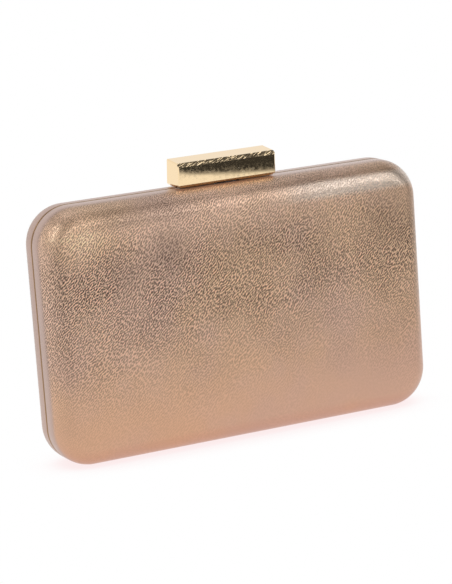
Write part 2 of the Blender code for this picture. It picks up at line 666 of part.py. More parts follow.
def main():
    clear_scene()
    looks = {
        "leatherette": material("leatherette", (0.42, 0.27, 0.19), 0.42, 0.55),
        "shell": material("moulded_shell", (0.10, 0.09, 0.08), 0.6, 0),
        "gilt": material("gilt_metal", (0.86, 0.63, 0.31), 0.15, 1),
        "satin": material("satin_lining", (0.55, 0.43, 0.34), 0.45, 0),
        "steel": material("spring_steel", (0.6, 0.6, 0.6), 0.3, 1),
    }
    root = empty("back_half", (0, 0, 0))
    lid = empty("front_half", (0, 0, HINGE_Z))
    clasp = empty("clasp", (0, CLASP_PIN_REAR, CLASP_PIN_Z))
    bpy.context.view_layer.update()
    cutters = hinge_cutters()
    parts = {}
    for name, side, parent in (("back", BACK, root), ("front", FRONT, lid)):
        *skins, holes = make_half(name, side, parent, looks, cutters)
        make_hinge(name, side, parent, looks, holes)
        parts[name] = skins
    pin = rod(HINGE_PIN_RADIUS, (-HINGE_HALF, 0, HINGE_Z), (HINGE_HALF, 0, HINGE_Z), BARREL_SIDES)
    pin = add_object("hinge_pin", pin, looks["steel"])
    smooth(pin, 35)
    pin.parent = root
    make_clasp_plate(root, looks, *parts["back"])
    make_spring(root, looks)
    make_clasp(clasp, looks)
    make_strike(lid, looks, *parts["front"])
    for obj in bpy.context.scene.objects:
        if obj.parent:
            obj.matrix_parent_inverse = obj.parent.matrix_world.inverted()


main()
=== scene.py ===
import math

import bmesh
import bpy
import numpy as np
from mathutils import Matrix, Vector


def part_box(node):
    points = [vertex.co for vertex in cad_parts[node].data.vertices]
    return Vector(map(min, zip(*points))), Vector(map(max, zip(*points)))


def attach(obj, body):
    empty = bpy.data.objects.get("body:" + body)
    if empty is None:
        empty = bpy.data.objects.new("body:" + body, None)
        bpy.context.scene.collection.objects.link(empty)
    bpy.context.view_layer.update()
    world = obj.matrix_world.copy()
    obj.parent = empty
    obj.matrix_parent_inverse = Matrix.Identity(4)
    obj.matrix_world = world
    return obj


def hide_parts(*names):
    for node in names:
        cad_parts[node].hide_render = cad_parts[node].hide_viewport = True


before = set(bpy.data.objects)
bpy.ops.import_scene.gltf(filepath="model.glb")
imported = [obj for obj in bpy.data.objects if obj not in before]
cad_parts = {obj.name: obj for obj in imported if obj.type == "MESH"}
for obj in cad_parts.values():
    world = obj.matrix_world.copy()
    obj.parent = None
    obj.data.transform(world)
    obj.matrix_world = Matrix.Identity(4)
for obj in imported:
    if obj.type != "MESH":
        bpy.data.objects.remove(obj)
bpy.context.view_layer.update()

scene = bpy.context.scene
scene.view_settings.view_transform = "Standard"


# The camera looks a little down on the case from its front left, through a long lens, and is rolled by a few
# degrees. Its place and its directions were fitted to the photographed outline.
LENS, SENSOR_WIDTH, NEAREST = 155.28, 36, 0.05
CAMERA_PLACE = Vector((-0.509785, -1.075003, 0.318277))
CAMERA_SIGHT = Vector((0.41792, 0.88517, -0.2045)).normalized()
CAMERA_TOP = Vector((0.15272, 0.15344, 0.97628))

camera = bpy.data.objects.new("camera", bpy.data.cameras.new("camera"))
camera.data.lens = LENS
camera.data.sensor_width = SENSOR_WIDTH
camera.data.clip_start = NEAREST
camera_right = CAMERA_SIGHT.cross(CAMERA_TOP).normalized()
camera_up = camera_right.cross(CAMERA_SIGHT)
camera_turn = Matrix((camera_right, camera_up, -CAMERA_SIGHT)).transposed().to_4x4()
camera.matrix_world = Matrix.Translation(CAMERA_PLACE) @ camera_turn
scene.collection.objects.link(camera)
scene.camera = camera


def feed(tree, node, inputs):
    """Gives each named input of a shader node its value, or links it to the socket that feeds it."""
    for key, value in inputs.items():
        if isinstance(value, bpy.types.NodeSocket):
            tree.links.new(value, node.inputs[key])
        else:
            node.inputs[key].default_value = value


def add(tree, kind, inputs=None, **settings):
    """A new shader node of a kind, with its settings set and its inputs fed."""
    made = tree.nodes.new(kind)
    for key, value in settings.items():
        setattr(made, key, value)
    feed(tree, made, inputs or {})
    return made


def result_of(tree, operation, first, second=0.0):
    """One step of arithmetic on two numbers or sockets."""
    return add(tree, "ShaderNodeMath", {0: first, 1: second}, operation=operation).outputs[0]


def mix_of(tree, share, first, second):
    """A number that goes from the first to the second as the share goes from 0 to 1."""
    return add(tree, "ShaderNodeMix", {0: share, 2: first, 3: second}, data_type="FLOAT").outputs[0]


def blend_of(tree, share, first, second):
    """A colour that goes from the first to the second as the share goes from 0 to 1."""
    return add(tree, "ShaderNodeMix", {0: share, 6: first, 7: second}, data_type="RGBA").outputs[2]


def eased_share(tree, value, low, high, at_low=0.0, at_high=1.0):
    """A number that glides between two values while another one goes from low to high."""
    inputs = {0: value, 1: low, 2: high, 3: at_low, 4: at_high}
    return add(tree, "ShaderNodeMapRange", inputs, interpolation_type="SMOOTHSTEP").outputs[0]


# The table is a pale board, white to the camera and in the polished metal, with a painted shadow, a little
# pink and grey, right under the case. For reflections its brightness is painted in bands, as a pool of light
# in a darker room: bright near the case with a dimmer band, then a dark strip and dim beyond, to where it
# ends. The camera sees through it away from the painted shadow, and light from below passes through it, so
# that the sunken lid is seen whole.
TABLE_FRONT, TABLE_BACK, TABLE_SIDE = -0.72, 2.4, 2.2
TABLE_SLANT, SHADE_REACH, SHADE_SAMPLES = 0.38, 0.03, 8
WHITE, BOARD_COLOUR, SHADE_COLOUR = (1, 1, 1, 1), (0.82, 0.81, 0.80, 1), (0.97, 0.84, 0.84, 1)
# Painted light for reflections: the board's brightness in bands by distance in front of the case, each a near
# edge, a far edge and the brightness at its near edge; past the last band it is the value below.
PAINTED_REFLECTION_AT_FRONT = 0.22
PAINTED_REFLECTION_BANDS = (
    (-0.50, -0.56, 0.04), (-0.458, -0.463, 0.42), (-0.453, -0.458, 1.0), (-0.28, -0.38, 0.60),
    (-0.08, -0.22, 1.0),
)

table_mesh = bpy.data.meshes.new("table")
table_corners = [
    (-TABLE_SIDE, TABLE_FRONT, 0), (TABLE_SIDE, TABLE_FRONT, 0),
    (TABLE_SIDE, TABLE_BACK, 0), (-TABLE_SIDE, TABLE_BACK, 0),
]
table_mesh.from_pydata(table_corners, [], [(0, 1, 2, 3)])
table = bpy.data.objects.new("table", table_mesh)
scene.collection.objects.link(table)

table_look = bpy.data.materials.new("table_board")
table_look.use_nodes = True
tree = table_look.node_tree
tree.nodes.clear()
rays = add(tree, "ShaderNodeLightPath")
# Painted shadow: the board's colour turns pink and grey where the case is close above it.
openness = add(tree, "ShaderNodeAmbientOcclusion", {"Distance": SHADE_REACH}, samples=SHADE_SAMPLES)
open_share = eased_share(tree, openness.outputs["AO"], 0.25, 0.95)
seen_colour = blend_of(tree, open_share, SHADE_COLOUR, WHITE)
place = add(tree, "ShaderNodeSeparateXYZ", {0: add(tree, "ShaderNodeTexCoord").outputs["Object"]})
slanted = result_of(tree, "MULTIPLY", place.outputs["X"], TABLE_SLANT)
ahead = result_of(tree, "SUBTRACT", place.outputs["Y"], slanted)
# Painted reflection: only glossy rays see these bands, and the camera sees the board evenly bright.
painted_reflection = PAINTED_REFLECTION_AT_FRONT
for near, far, at_near in PAINTED_REFLECTION_BANDS:
    painted_reflection = mix_of(tree, eased_share(tree, ahead, far, near), painted_reflection, at_near)
painted_reflection = mix_of(tree, rays.outputs["Is Glossy Ray"], 1.0, painted_reflection)
board = add(tree, "ShaderNodeBsdfDiffuse", {"Color": BOARD_COLOUR})
white = add(tree, "ShaderNodeEmission", {"Color": seen_colour, "Strength": painted_reflection})
seen = result_of(tree, "MAXIMUM", rays.outputs["Is Camera Ray"], rays.outputs["Is Glossy Ray"])
seen = result_of(tree, "MAXIMUM", seen, rays.outputs["Is Transmission Ray"])
mixed = add(tree, "ShaderNodeMixShader", {0: seen, 1: board.outputs[0], 2: white.outputs[0]})
below = add(tree, "ShaderNodeAmbientOcclusion", {"Distance": SHADE_REACH}, samples=SHADE_SAMPLES, inside=True)
below = eased_share(tree, below.outputs["AO"], 0.6, 0.98, 1.0, 0.0)
through = result_of(tree, "MAXIMUM", below, open_share)
through = result_of(tree, "MULTIPLY", rays.outputs["Is Camera Ray"], through)
through = result_of(tree, "MAXIMUM", through, add(tree, "ShaderNodeNewGeometry").outputs["Backfacing"])
clear = add(tree, "ShaderNodeBsdfTransparent")
mixed = add(tree, "ShaderNodeMixShader", {0: through, 1: mixed.outputs[0], 2: clear.outputs[0]})
add(tree, "ShaderNodeOutputMaterial", {0: mixed.outputs[0]})
table_mesh.materials.append(table_look)


# The room is white behind the case, dim in front of it, darkest there a good way up, and grey overhead. The
# camera itself sees it white all round. A band holds its two heights and the colour that it leads to.
BEHIND, OVERHEAD, FRONT_LOW = (0.94, 0.94, 0.94, 1), (0.30, 0.30, 0.31, 1), (0.30, 0.29, 0.28, 1)
FRONT_BANDS = (
    (0.08, 0.34, (0.15, 0.145, 0.14, 1)),
    (0.60, 0.76, (0.07, 0.07, 0.07, 1)),
    (0.82, 0.94, OVERHEAD),
)

room = bpy.data.worlds.new("room")
room.use_nodes = True
scene.world = room
tree = room.node_tree
tree.nodes.clear()
way = add(tree, "ShaderNodeSeparateXYZ", {0: add(tree, "ShaderNodeTexCoord").outputs["Generated"]})
height = way.outputs["Z"]
front = FRONT_LOW
for low, high, colour in FRONT_BANDS:
    front = blend_of(tree, eased_share(tree, height, low, high), front, colour)
behind = blend_of(tree, eased_share(tree, height, 0.62, 0.86), BEHIND, OVERHEAD)
room_colour = blend_of(tree, eased_share(tree, way.outputs["Y"], -0.15, 0.25), front, behind)
rays = add(tree, "ShaderNodeLightPath")
room_colour = blend_of(tree, rays.outputs["Is Camera Ray"], room_colour, WHITE)
light = add(tree, "ShaderNodeBackground", {"Color": room_colour, "Strength": 1.0})
add(tree, "ShaderNodeOutputWorld", {0: light.outputs[0]})


# Four large soft lamps stand round the case: two in front, one at its left and one overhead. Each row holds
# a name, a place, the point that it is aimed at, its width, its height and its watts.
LAMPS = (
    ("lamp_front_right", (0.76, -0.88, 0.63), (0, 0, 0.10), 0.62, 1.06, 3.5),
    ("lamp_front", (0.27, -1.15, 0.32), (0, 0, 0.10), 0.40, 0.34, 1.2),
    ("lamp_left", (-0.93, -0.60, 0.84), (-0.08, 0, 0.10), 0.42, 0.62, 3.6),
    ("lamp_top", (0.1, 0.15, 1.4), (0, 0, 0.06), 0.9, 0.9, 2.8),
)

for name, place, aim, width, height, watts in LAMPS:
    lamp = bpy.data.lights.new(name, "AREA")
    lamp.shape = "RECTANGLE"
    lamp.size, lamp.size_y = width, height
    lamp.energy = watts
    holder = bpy.data.objects.new(name, lamp)
    holder.location = place
    holder.rotation_euler = (Vector(aim) - Vector(place)).to_track_quat("-Z", "Y").to_euler()
    scene.collection.objects.link(holder)


# Under each cover lies a moulded half shell of dark plastic board, which gives the case its shape.
# It shows only where the cover is cut away for the hinge and the latch.
SHELL_DARK, SHELL_PALE = (0.020, 0.017, 0.015, 1), (0.045, 0.038, 0.033, 1)


def new_look(name):
    """A new material: itself, its node tree, its surface node, and the places on the object in metres."""
    look = bpy.data.materials.new(name)
    look.use_nodes = True
    tree = look.node_tree
    return look, tree, tree.nodes["Principled BSDF"], add(tree, "ShaderNodeTexCoord").outputs["Object"]


def noise(tree, place, scale, detail, roughness=0.5):
    """An uneven pattern of values between 0 and 1, finer as the scale rises."""
    inputs = {"Vector": place, "Scale": scale, "Detail": detail, "Roughness": roughness}
    return add(tree, "ShaderNodeTexNoise", inputs).outputs["Fac"]


def streaks(tree, place, scales, detail):
    """The same pattern with a scale of its own along each axis, which draws it out into lines."""
    stretched = add(tree, "ShaderNodeMapping", {"Vector": place, "Scale": scales})
    return noise(tree, stretched.outputs[0], 1.0, detail)


def bump_of(tree, height, strength, distance):
    """The direction that a surface seems to face when a pattern raises it."""
    inputs = {"Strength": strength, "Distance": distance, "Height": height}
    return add(tree, "ShaderNodeBump", inputs).outputs[0]


shell_look, tree, coat, spot = new_look("moulded_board")
fleck = noise(tree, spot, 900.0, 3.0)
patch = noise(tree, spot, 40.0, 2.0)
feed(tree, coat, {
    "Base Color": blend_of(tree, patch, SHELL_DARK, SHELL_PALE),
    "Roughness": eased_share(tree, fleck, 0.3, 0.7, 0.5, 0.7),
    "Normal": bump_of(tree, fleck, 0.3, 0.0001),
})
for node in ("front_shell", "back_shell"):
    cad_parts[node].data.materials.clear()
    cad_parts[node].data.materials.append(shell_look)


# Each half is covered in one piece of metallic bronze leatherette, drawn over the moulded shell, turned in
# over the rim, glued down under the metal frame, and cut away round the hinge and the latch. Its pits carry
# painted shade, which fades out low down; a highlight is painted along its top edge, and painted highlights,
# darker places, painted shade and a painted reflection lie elsewhere on it.
HALF_WIDTH, HALF_HEIGHT, CORNER_RADIUS = 0.100, 0.062, 0.019
FLANK_DEPTH, EDGE_DEPTH, EDGE_INSET, CROWN = 0.0045, 0.0110, 0.0095, 0.0030
RIM, RIM_ROUND, COVER_WALL = 0.00025, 0.0005, 0.0008
HEM_OUT, HEM_IN, HEM_DEPTH, HEM_ROUND, HEM_EASE = 0.0029, 0.0035, 0.0060, 0.0003, 0.0002
CORNER_STEPS, LONG_STEPS, SHORT_STEPS, ROUND_STEPS = 20, 44, 26, 6
FRONT, BACK = -1.0, 1.0
PATTERN_APART = 0.2


def outline(inset):
    """The case's outline moved in by an inset, as x and height from its middle. Each corner is a quarter
    circle of the corner radius less the inset, and the straight sides between them are cut in even steps."""
    half = np.array((HALF_WIDTH - inset, HALF_HEIGHT - inset))
    radius = CORNER_RADIUS - inset
    signs = np.array(((1, 1), (-1, 1), (-1, -1), (1, -1)), float)
    runs = []
    for number, steps in enumerate((LONG_STEPS, SHORT_STEPS, LONG_STEPS, SHORT_STEPS)):
        turn = (number + np.linspace(0, 1, CORNER_STEPS + 1)) * math.pi / 2
        arc = signs[number] * (half - radius) + radius * np.stack((np.cos(turn), np.sin(turn)), 1)
        after = signs[(number + 1) % 4] * (half - radius)
        after = after + radius * np.array((math.cos(turn[-1]), math.sin(turn[-1])))
        share = np.linspace(0, 1, steps + 1)[1:-1, None]
        runs += [arc, arc[-1] * (1 - share) + after * share]
    return np.concatenate(runs)


def swell(flat):
    """The share of the crown at points of the face: (1 - (x / half width) squared) times the same in
    height."""
    return (1 - (flat[..., 0] / HALF_WIDTH) ** 2) * (1 - (flat[..., 1] / HALF_HEIGHT) ** 2)


def level(inset, depth):
    """One ring at an inset, all at one depth from the seam: x, depth and height."""
    flat = outline(inset)
    return np.stack((flat[:, 0], np.full(len(flat), depth), flat[:, 1]), 1)


def dome(layer, start, edge_steps, face_steps):
    """Rings of a half's surface a layer in from the outside, from its rim to beside its middle. They climb
    the straight flank, then a quarter ellipse from flank to face, and then close in on the face in even
    shares."""
    first = math.asin(max(0.0, start - FLANK_DEPTH) / (EDGE_DEPTH - layer))
    rings = [level(layer, start)] if start < FLANK_DEPTH else []
    for lift in np.linspace(first, math.pi / 2, edge_steps + 1):
        flat = outline(EDGE_INSET - (EDGE_INSET - layer) * math.cos(lift))
        depth = FLANK_DEPTH + math.sin(lift) * (EDGE_DEPTH - layer + CROWN * swell(flat))
        rings.append(np.stack((flat[:, 0], depth, flat[:, 1]), 1))
    flat = outline(EDGE_INSET) * np.linspace(1, 0, face_steps + 1)[1:-1, None, None]
    depth = FLANK_DEPTH + EDGE_DEPTH - layer + CROWN * swell(flat)
    return np.stack(rings), np.stack((flat[..., 0], depth, flat[..., 1]), -1)


def stood(points, side):
    """Points of a half drawn about the case's middle, turned to their side and stood on the table."""
    return points * np.array((1, side, 1)) + np.array((0, 0, HALF_HEIGHT))


def smooth(mesh, sharp=35):
    """Shades a mesh smooth, apart from the edges that are sharper than so many degrees."""
    mesh.shade_smooth()
    mesh.set_sharp_from_angle(angle=math.radians(sharp))


def outward(mesh):
    """Welds a mesh's doubles, turns its faces outwards and shades it smooth."""
    bm = bmesh.new()
    bm.from_mesh(mesh)
    bmesh.ops.remove_doubles(bm, verts=bm.verts, dist=1e-7)
    bmesh.ops.recalc_face_normals(bm, faces=bm.faces)
    bm.to_mesh(mesh)
    bm.free()
    smooth(mesh)
    return mesh


def skin_mesh(name, rings, tips=None, laid_out=None):
    """A mesh through rings of equal counts, rings x points x 3. With two tips the first and last rings close
    on them, and without tips the last ring joins the first again. Laid out holds two lengths for each point,
    which become the UV map that the grain follows."""
    count, points = rings.shape[:2]
    verts = rings.reshape(-1, 3)
    bands = count if tips is None else count - 1
    row, col = np.meshgrid(np.arange(bands), np.arange(points), indexing="ij")
    here, after = row * points, (row + 1) % count * points
    beside = (col + 1) % points
    quads = np.stack((here + col, here + beside, after + beside, after + col), -1)
    faces = quads.reshape(-1, 4).tolist()
    if tips is not None:
        verts = np.concatenate((verts, np.asarray(tips)))
        ring = np.arange(points)
        for start, tip in ((0, count * points), ((count - 1) * points, count * points + 1)):
            fan = np.stack((start + ring, start + (ring + 1) % points, np.full(points, tip)), -1)
            faces += fan.tolist()
    mesh = bpy.data.meshes.new(name)
    mesh.from_pydata(verts.tolist(), [], faces)
    if laid_out is not None:
        corner = np.empty(len(mesh.loops), dtype=np.int32)
        mesh.loops.foreach_get("vertex_index", corner)
        laid_corners = laid_out[corner].astype(np.float32).ravel()
        mesh.uv_layers.new(name="laid_out").data.foreach_set("uv", laid_corners)
    return outward(mesh)


def new_piece(name, mesh, look):
    """An object at the origin with a mesh and a material."""
    piece = bpy.data.objects.new(name, mesh)
    scene.collection.objects.link(piece)
    mesh.materials.append(look)
    return piece


def carve(piece, spaces):
    """Cuts boxes, each a low and a high corner, out of a piece, and keeps the result as its mesh."""
    corners = np.array([(x, y, z) for x in (0, 1) for y in (0, 1) for z in (0, 1)])
    faces = [(0, 1, 3, 2), (4, 6, 7, 5), (0, 4, 5, 1), (2, 3, 7, 6), (0, 2, 6, 4), (1, 5, 7, 3)]
    for low, high in spaces:
        low, high = np.array(low), np.array(high)
        block = bpy.data.meshes.new("space")
        block.from_pydata((low + corners * (high - low)).tolist(), [], faces)
        cutter = bpy.data.objects.new("space", block)
        scene.collection.objects.link(cutter)
        modifier = piece.modifiers.new("space", "BOOLEAN")
        modifier.operation, modifier.object = "DIFFERENCE", cutter
    bpy.context.view_layer.update()
    carved = bpy.data.meshes.new_from_object(piece.evaluated_get(bpy.context.evaluated_depsgraph_get()))
    for modifier in list(piece.modifiers):
        cutter = modifier.object
        piece.modifiers.remove(modifier)
        bpy.data.objects.remove(cutter)
    carved.name = piece.name
    piece.data = carved
    smooth(carved)


def cover_mesh(name, side):
    """The leatherette of one half: outer dome, rounded rim, hem and inner dome, as one closed wall. Laid out
    flat, a point keeps its place on the face, and on the edge it lies further out by its drop below the
    face."""
    edge, face = dome(0.0, RIM, 16, 28)
    inner_edge, inner_face = dome(COVER_WALL, RIM + COVER_WALL, 8, 8)
    turn = np.linspace(0, math.pi / 2, ROUND_STEPS)
    bend = list(zip(1 - np.sin(turn), 1 - np.cos(turn)))
    lips = [level(RIM_ROUND * aside, RIM + RIM_ROUND * sunk) for sunk, aside in bend]
    lips += [level(HEM_IN - HEM_ROUND * sunk, RIM + HEM_ROUND * aside) for sunk, aside in bend]
    lips += [level(HEM_IN, HEM_DEPTH - HEM_EASE), level(HEM_IN - HEM_EASE, HEM_DEPTH)]
    lips += [level(HEM_OUT, HEM_DEPTH), level(HEM_OUT, RIM + COVER_WALL)]
    rings = np.concatenate((face[::-1], edge[:0:-1], np.stack(lips), inner_edge, inner_face))
    middle = FLANK_DEPTH + EDGE_DEPTH + CROWN
    tips = np.array(((0, middle, 0), (0, middle - COVER_WALL, 0)))
    flat = rings[..., (0, 2)]
    drop = (FLANK_DEPTH + EDGE_DEPTH - rings[..., 1:2]).clip(0)
    straight = np.array((HALF_WIDTH, HALF_HEIGHT)) - CORNER_RADIUS
    reach = flat - np.clip(flat, -straight, straight)
    length = np.linalg.norm(reach, axis=-1, keepdims=True)
    laid_out = flat + reach / np.maximum(length, 1e-6) * drop
    laid_out = np.concatenate((laid_out.reshape(-1, 2), np.zeros((2, 2))))
    laid_out = laid_out + np.array((PATTERN_APART * side, 0))
    return skin_mesh(name, stood(rings, side), stood(tips, side), laid_out)


# The leatherette's look: a bronze skin with rows of pits that carry painted shade, with painted highlights
# and darker places here and there. Each of these places holds its x, its height, its reach and how much paler
# it is.
LOWER_SKIN = ((0.695, 0.39, 0.240, 1), (0.655, 0.385, 0.270, 1))
UPPER_SKIN = ((1.0, 0.675, 0.445, 1), (0.98, 0.665, 0.500, 1))
# Colours of the painted highlight band, the painted reflection on the edge and the painted shade line at the
# seam.
PAINTED_HIGHLIGHT, EDGE_REFLECTION, SEAM_SHADE = (1.0, 0.87, 0.75, 1), (0.58, 0.40, 0.33, 1), (0.40, 0.23, 0.11, 1)
# Painted shade: the dark colour laid into the pits of the grain.
PAINTED_PIT_SHADE = (0.045, 0.013, 0.006, 1)
FINE_PITS, LARGE_PITS, RIDGES = 1150.0, 940.0, 465.0
GRAIN_LEAN, GRAIN_STRETCH, STRAY = 45, 1.5, 0.0007
FRONT_FACE_Y = -0.0172
PAINTED_GLOWS_AND_DARKER_PLACES = (
    (-0.0590, 0.0890, 0.017, -0.17), (-0.0802, 0.1115, 0.018, 0.36), (-0.0965, 0.1185, 0.015, 0.52),
    (-0.0376, 0.0985, 0.020, -0.32), (-0.005, 0.098, 0.022, -0.16), (0.084, 0.104, 0.034, -0.24),
    (0.030, 0.106, 0.046, -0.15),
)


def pits(tree, place, scale):
    """A field of pits: 0 in the middle of a pit, 1 on the raised skin between them."""
    inputs = {"Vector": place, "Scale": scale, "Randomness": 0.8}
    cells = add(tree, "ShaderNodeTexVoronoi", inputs, voronoi_dimensions="2D")
    return eased_share(tree, cells.outputs["Distance"], 0.15, 0.60)


leather, tree, coat, spot = new_look("bronze_leatherette")
laid = add(tree, "ShaderNodeUVMap", uv_map="laid_out").outputs[0]
stray = add(tree, "ShaderNodeTexNoise", {"Vector": laid, "Scale": 170.0, "Detail": 1.0}).outputs["Color"]
stray = add(tree, "ShaderNodeVectorMath", {0: stray, 1: (0.5, 0.5, 0.5)}, operation="SUBTRACT").outputs[0]
stray = add(tree, "ShaderNodeVectorMath", {0: stray, 3: STRAY}, operation="SCALE").outputs[0]
stray = add(tree, "ShaderNodeVectorMath", {0: laid, 1: stray}, operation="ADD").outputs[0]
drawn = {"Vector": stray, "Rotation": (0, 0, math.radians(GRAIN_LEAN)), "Scale": (GRAIN_STRETCH, 1.0, 1.0)}
drawn = add(tree, "ShaderNodeMapping", drawn, vector_type="TEXTURE").outputs[0]
zone = eased_share(tree, noise(tree, laid, 42.0, 2.0), 0.50, 0.56)
grain = mix_of(tree, zone, pits(tree, drawn, FINE_PITS), pits(tree, drawn, LARGE_PITS))
ridge = {"Vector": stray, "Scale": RIDGES, "Frequency": 2.05, "Anisotropy": 0.8}
ridge["Orientation"] = math.radians(90 + GRAIN_LEAN)
ridge = add(tree, "ShaderNodeTexGabor", ridge, gabor_type="2D").outputs["Value"]
grain = mix_of(tree, 0.55, grain, eased_share(tree, ridge, 0.30, 0.70))
grain = eased_share(tree, grain, 0.20, 0.90)
micro = noise(tree, spot, 2600.0, 3.0)
relief = result_of(tree, "ADD", grain, result_of(tree, "MULTIPLY", micro, 0.12))

# The grain is drawn flat on the edge, and low down its relief and the painted shade in its pits fade out.
place = add(tree, "ShaderNodeSeparateXYZ", {0: spot})
across, height = place.outputs["X"], place.outputs["Z"]
depth = result_of(tree, "ABSOLUTE", place.outputs["Y"])
# A share that rises with height: low down the pits' relief and their painted shade fade out.
higher_up = eased_share(tree, height, 0.004, 0.080, 0.12, 1.0)
on_face = eased_share(tree, depth, 0.0054, 0.0082, 0.12, 1.0)
on_face = result_of(tree, "MULTIPLY", on_face, higher_up)

# The skin's colour is cloudy and browner low down, with painted highlights and darker places here and there,
# painted shade on the left of the top edge, a painted highlight along it on the right, a painted reflection
# on the edge and a painted shade line at the seam.
cloud = eased_share(tree, noise(tree, spot, 17.0, 3.0, 0.6), 0.35, 0.65)
skin = blend_of(tree, higher_up, blend_of(tree, cloud, *LOWER_SKIN), blend_of(tree, cloud, *UPPER_SKIN))
glow_and_shade_tone = 1.0
# Painted highlights at the upper left corner, where the lift is above 0, and darker places where it is below.
for x, z, reach, lift in PAINTED_GLOWS_AND_DARKER_PLACES:
    away = add(tree, "ShaderNodeVectorMath", {0: spot, 1: (x, FRONT_FACE_Y, z)}, operation="DISTANCE")
    glow_and_shade_tone = result_of(tree, "ADD", glow_and_shade_tone, eased_share(tree, away.outputs["Value"], 0.0, reach, lift, 0.0))
# Painted shade on the left of the top edge, which dims a lamp's reflection there.
top_left_shade = eased_share(tree, across, -0.045, -0.010, 1.0, 0.0)
top_left_shade = result_of(tree, "MULTIPLY", top_left_shade, eased_share(tree, height, 0.1100, 0.1145, 0.0, 0.26))
glow_and_shade_tone = result_of(tree, "SUBTRACT", glow_and_shade_tone, top_left_shade)
skin = add(tree, "ShaderNodeVectorMath", {0: skin, 3: glow_and_shade_tone}, operation="SCALE").outputs[0]
# Painted highlight: a pale band along the top edge on the right, where a lamp is mirrored.
highlight_band = eased_share(tree, height, 0.1180, 0.1205, 0.70, 0.0)
highlight_band = result_of(tree, "MULTIPLY", eased_share(tree, height, 0.1095, 0.1135), highlight_band)
highlight_band = result_of(tree, "MULTIPLY", highlight_band, eased_share(tree, across, 0.012, 0.050))
skin = blend_of(tree, highlight_band, skin, PAINTED_HIGHLIGHT)
# Painted reflection: a mauve grey on the rounded edge and flank towards the rim.
skin = blend_of(tree, eased_share(tree, depth, 0.0062, 0.0088), EDGE_REFLECTION, skin)
# Painted shade: a dark brown line on the last millimetre or so next to the seam.
skin = blend_of(tree, eased_share(tree, depth, 0.0006, 0.0012), SEAM_SHADE, skin)

# Painted shade in the pits: less of it in patches, on the edge, low down and along the top edge where the
# highlight lies, and more again above that on the right.
pit_shade_share = eased_share(tree, noise(tree, laid, 38.0, 2.0), 0.38, 0.62, 0.82, 1.0)
pit_shade_above_band = eased_share(tree, across, -0.01, 0.03, 0.0, 0.26)
pit_shade_above_band = result_of(tree, "MULTIPLY", eased_share(tree, height, 0.1178, 0.1200), pit_shade_above_band)
pit_shade_kept = result_of(tree, "ADD", eased_share(tree, height, 0.092, 0.112, 1.0, 0.68), pit_shade_above_band)
pit_shade_share = result_of(tree, "MULTIPLY", result_of(tree, "MULTIPLY", on_face, pit_shade_share), pit_shade_kept)
pit_shade = result_of(tree, "MULTIPLY", result_of(tree, "SUBTRACT", 1.0, grain), pit_shade_share)
handled = eased_share(tree, height, 0.106, 0.113, 0.0, 0.10)
handled = result_of(tree, "MULTIPLY", handled, eased_share(tree, across, -0.020, 0.040))
feed(tree, coat, {
    "Base Color": blend_of(tree, pit_shade, skin, PAINTED_PIT_SHADE),
    "Metallic": 0.75,
    "Roughness": result_of(tree, "SUBTRACT", eased_share(tree, grain, 0.0, 1.0, 0.46, 0.37), handled),
    "Normal": bump_of(tree, relief, on_face, 0.00006),
    "Coat Weight": 0.45,
    "Coat Roughness": 0.34,
})

GROOVE = ((-0.0895, -0.0022, -0.002), (0.0895, 0.0022, 0.0020))
CHANNEL = ((-0.0783, -0.0022, -0.001), (0.0783, 0.0022, 0.00365))
BED = ((-0.0783, -0.0063, 0.00275), (0.0783, 0.0063, 0.00365))
NOTCH = ((-0.0066, -0.00511, 0.1191), (0.0066, 0.001, 0.126))
front_leather = new_piece("front_leather", cover_mesh("front_leather", FRONT), leather)
carve(front_leather, (GROOVE, CHANNEL, BED, NOTCH))
back_leather = new_piece("back_leather", cover_mesh("back_leather", BACK), leather)
carve(back_leather, (GROOVE, CHANNEL, BED))
for piece, body, node in (
    (front_leather, "front_half", "front_cover"),
    (back_leather, "back_half", "back_cover"),
):
    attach(piece, body)
    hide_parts(node)


# A gilt metal frame is set inside each mouth. It is a strip bent to the outline and soldered, with rounded
# lips, and it carries the hinge below and the latch above.
FRAME_OUT, FRAME_IN, FRAME_DEPTH, FRAME_LIP = 0.0038, 0.0046, 0.0065, 0.00035
LIP_POINTS = 9
GILT_BRIGHT, GILT_TARNISHED = (0.90, 0.68, 0.36, 1), (0.84, 0.60, 0.29, 1)

gilt, tree, coat, spot = new_look("gilt_strip")
streak = streaks(tree, spot, (60.0, 2600.0, 60.0), 3.0)
tarnish = noise(tree, spot, 55.0, 3.0)
feed(tree, coat, {
    "Base Color": blend_of(tree, tarnish, GILT_BRIGHT, GILT_TARNISHED),
    "Metallic": 1.0,
    "Roughness": eased_share(tree, streak, 0.3, 0.7, 0.16, 0.28),
    "Normal": bump_of(tree, streak, 0.15, 0.00004),
})


def frame_mesh(name, side):
    """A strip bent to the outline. Its section is a thin upright oblong whose two lips are half circles,
    written as a loop of insets and depths."""
    turn = np.linspace(0, math.pi, LIP_POINTS)
    mid, half = (FRAME_OUT + FRAME_IN) / 2, (FRAME_IN - FRAME_OUT) / 2
    low = np.stack((mid + half * np.cos(turn), RIM + FRAME_LIP * (1 - np.sin(turn))), 1)
    high = np.stack((mid - half * np.cos(turn), FRAME_DEPTH - FRAME_LIP * (1 - np.sin(turn))), 1)
    rings = np.stack([level(inset, depth) for inset, depth in np.concatenate((low, high))])
    return skin_mesh(name, stood(rings, side))


front_rim = new_piece("front_rim_strip", frame_mesh("front_rim_strip", FRONT), gilt)
carve(front_rim, (NOTCH,))
back_rim = new_piece("back_rim_strip", frame_mesh("back_rim_strip", BACK), gilt)
for piece, body, node in ((front_rim, "front_half", "front_frame"), (back_rim, "back_half", "back_frame")):
    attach(piece, body)
    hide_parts(node)


